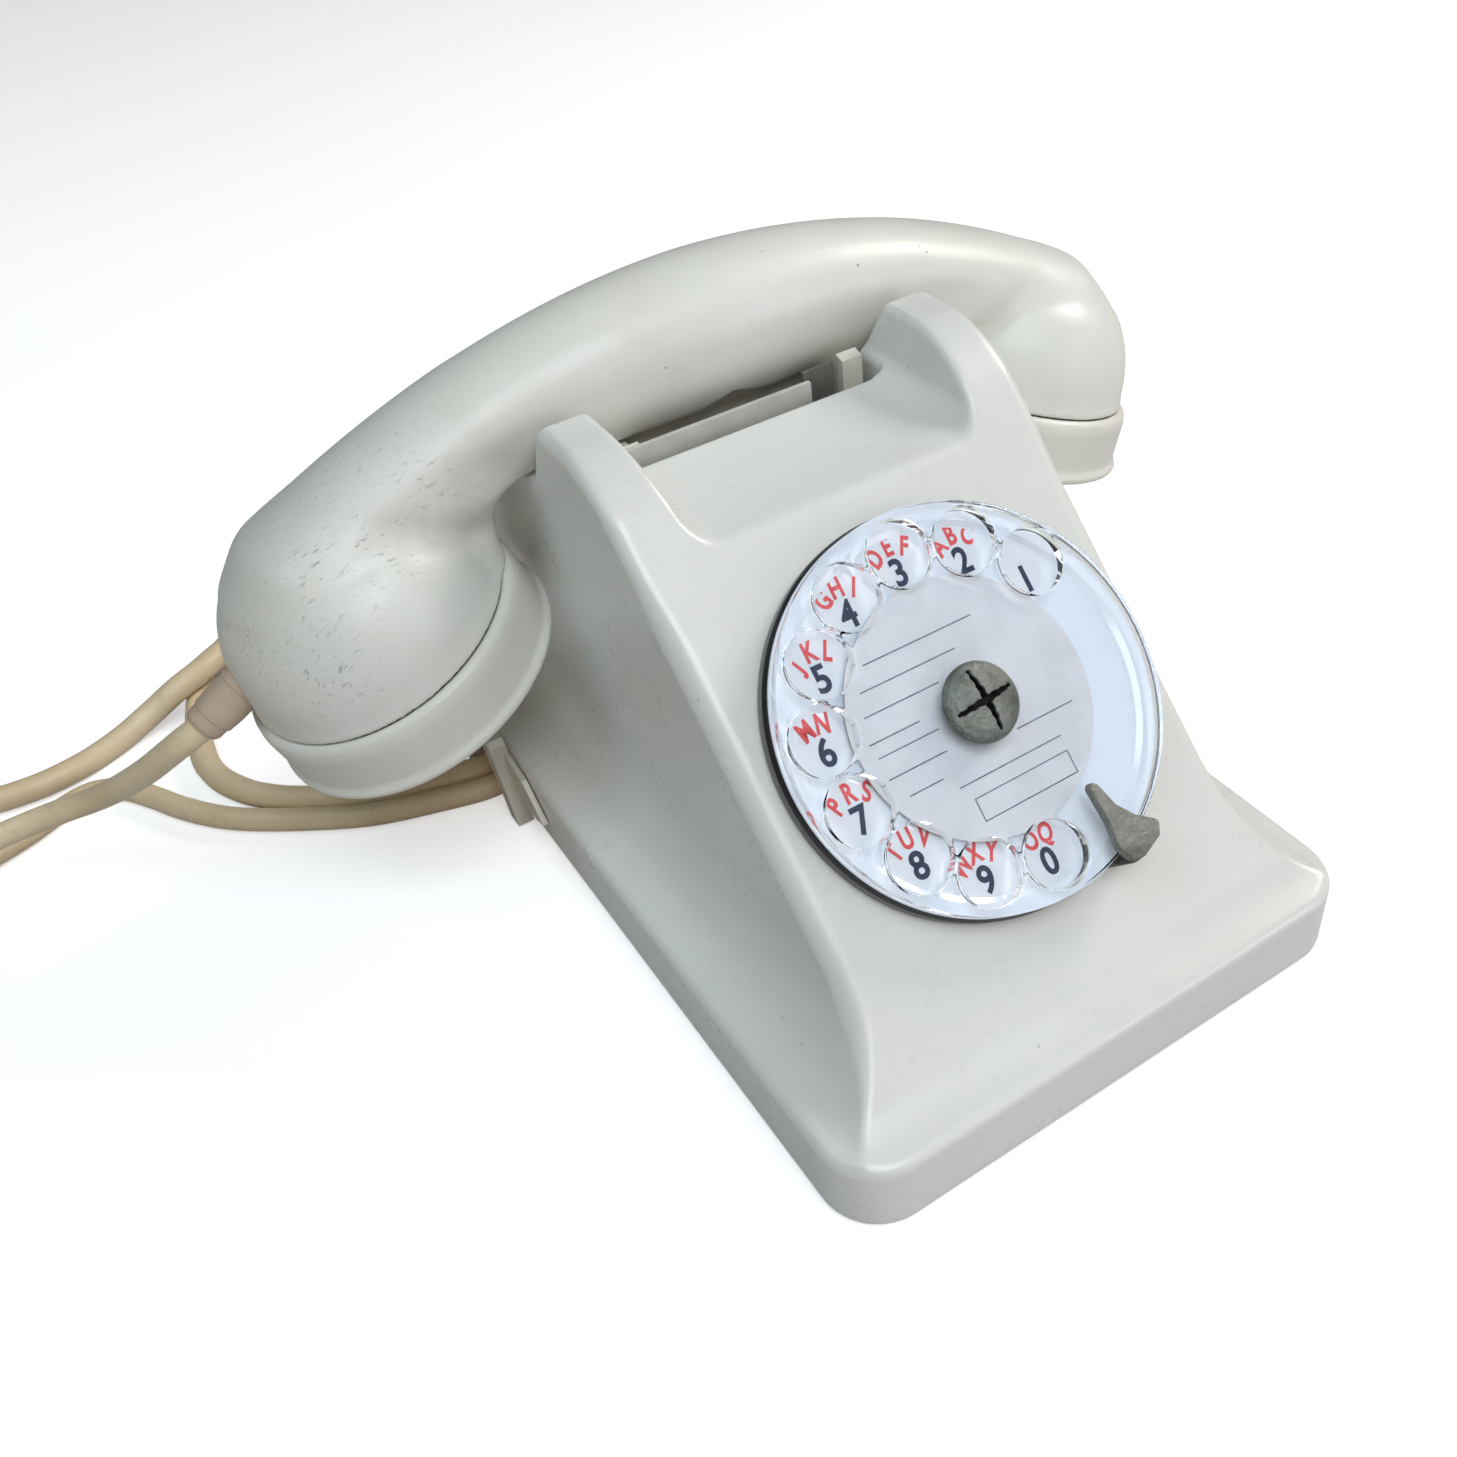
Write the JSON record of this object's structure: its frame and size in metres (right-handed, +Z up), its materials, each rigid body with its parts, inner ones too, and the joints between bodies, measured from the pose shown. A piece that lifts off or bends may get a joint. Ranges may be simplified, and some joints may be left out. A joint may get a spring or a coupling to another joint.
{
  "type": "rotary telephone",
  "caption": "Ivory rotary desk telephone with a curved handset lying between its horns, a clear finger wheel over a lettered number plate, and two beige cords.",
  "frame": {"origin": "on the desk, under the middle of the telephone without its cords", "axes": "+X to the right seen from the dial, +Y back, +Z up"},
  "size_m": [0.418, 0.3115, 0.1272],
  "materials": {
    "housing_ivory": "moulded ivory, polished, lightly scuffed",
    "cream_moulding": "moulded cream, semi-gloss",
    "handset_ivory": "moulded ivory, polished, worn",
    "black_moulding": "black moulding",
    "clear_acrylic": "clear acrylic, bevelled holes",
    "plate_enamel": "glossy pale blue-white enamel",
    "paper_card": "matt paper card",
    "cast_zinc": "dull cast zinc",
    "plain_steel": "plain steel",
    "dark_steel": "dark lacquered steel",
    "brass_parts": "turned brass",
    "bell_metal": "nickel-plated bell metal",
    "copper_coil": "varnished copper winding",
    "beige_cord": "aged beige rubber, satin",
    "pink_sleeve": "aged pinkish rubber",
    "foot_rubber": "dark rubber",
    "tin_can": "tinned metal can",
    "brown_moulding": "brown phenolic moulding"
  },
  "bodies": {
    "base": {"housing": "housing_ivory", "base_plate": "dark_steel", "cord_clamp": "cream_moulding", "clamp_screw": "plain_steel", "ringer_frame": "plain_steel", "clapper_pin": "plain_steel", "capacitor": "tin_can", "induction_coil": "copper_coil", "terminal_block": "brown_moulding", "hook_bracket": "dark_steel", "bracket_screw_left": "plain_steel", "bracket_screw_right": "plain_steel", "hook_pin": "plain_steel", "contact_pile": "brown_moulding", "hook_spring": "plain_steel", "dial_case": "black_moulding", "number_plate": "plate_enamel", "dial_frame": "plain_steel", "dial_spring": "dark_steel", "dial_contacts": "brown_moulding", "finger_stop": "cast_zinc", "foot_front_left": "foot_rubber", "foot_front_right": "foot_rubber", "foot_rear_left": "foot_rubber", "foot_rear_right": "foot_rubber", "base_screw_front_left": "plain_steel", "base_screw_front_right": "plain_steel", "base_screw_rear_left": "plain_steel", "base_screw_rear_right": "plain_steel", "ringer_coil_left": "copper_coil", "ringer_coil_right": "copper_coil", "gong_left": "bell_metal", "gong_right": "bell_metal", "gong_post_left": "plain_steel", "gong_post_right": "plain_steel", "handset_cord_lead": "beige_cord", "handset_cord_tail": "beige_cord", "handset_cord_coil": "beige_cord", "line_cord_tail": "beige_cord", "line_cord_coil": "beige_cord", "line_cord_end": "beige_cord", "line_plug": "cream_moulding"},
    "handset": {"handset_shell": "handset_ivory", "handset_gland": "pink_sleeve", "mouth_cap": "handset_ivory", "ear_cap": "handset_ivory", "transmitter": "tin_can", "receiver": "tin_can"},
    "hook": {"hook_lever": "plain_steel", "hook_pad_left": "cream_moulding", "hook_pad_right": "cream_moulding"},
    "dial": {"finger_wheel": "clear_acrylic", "dial_card": "paper_card", "dial_screw": "cast_zinc", "dial_shaft": "plain_steel", "dial_gear": "brass_parts"},
    "pulse": {"pulse_cam": "brass_parts"},
    "speed_governor": {"governor": "brass_parts"},
    "hammer": {"clapper": "brass_parts"}
  },
  "joints": [
    {"name": "handset_lift", "type": "slide", "parent": "base", "child": "handset", "axis": [0, 0, 1], "range_m": [0, 0.12]},
    {"name": "hook_swing", "type": "hinge", "parent": "base", "child": "hook", "pos_m": [0, 0.066, 0.076], "axis": [-1, 0, 0], "range_deg": [0, 8]},
    {"name": "dial_turn", "type": "hinge", "parent": "base", "child": "dial", "pos_m": [0, -0.03812, 0.06327], "axis": [0, 0.6878, -0.7259], "range_deg": [0, 320], "stiffness_Nm_per_rad": 0.004, "springref_deg": -34.38},
    {"name": "pulse_turn", "type": "hinge", "parent": "base", "child": "pulse", "pos_m": [0.02025, -0.03812, 0.06327], "axis": [0, 0.6878, -0.7259], "range_deg": [-960, 0]},
    {"name": "governor_turn", "type": "hinge", "parent": "base", "child": "speed_governor", "pos_m": [-0.01754, -0.03077, 0.07024], "axis": [0, 0.6878, -0.7259], "range_deg": [-960, 0]},
    {"name": "hammer_swing", "type": "hinge", "parent": "base", "child": "hammer", "pos_m": [0, 0.036, 0.03], "axis": [0, 0, 1], "range_deg": [-2, 2]}
  ],
  "couplings": [
    {"joint": "hook_swing", "follows": "handset_lift", "rad_per_m": 1.1624},
    {"joint": "pulse_turn", "follows": "dial_turn", "ratio": -3},
    {"joint": "governor_turn", "follows": "dial_turn", "ratio": -3}
  ]
}
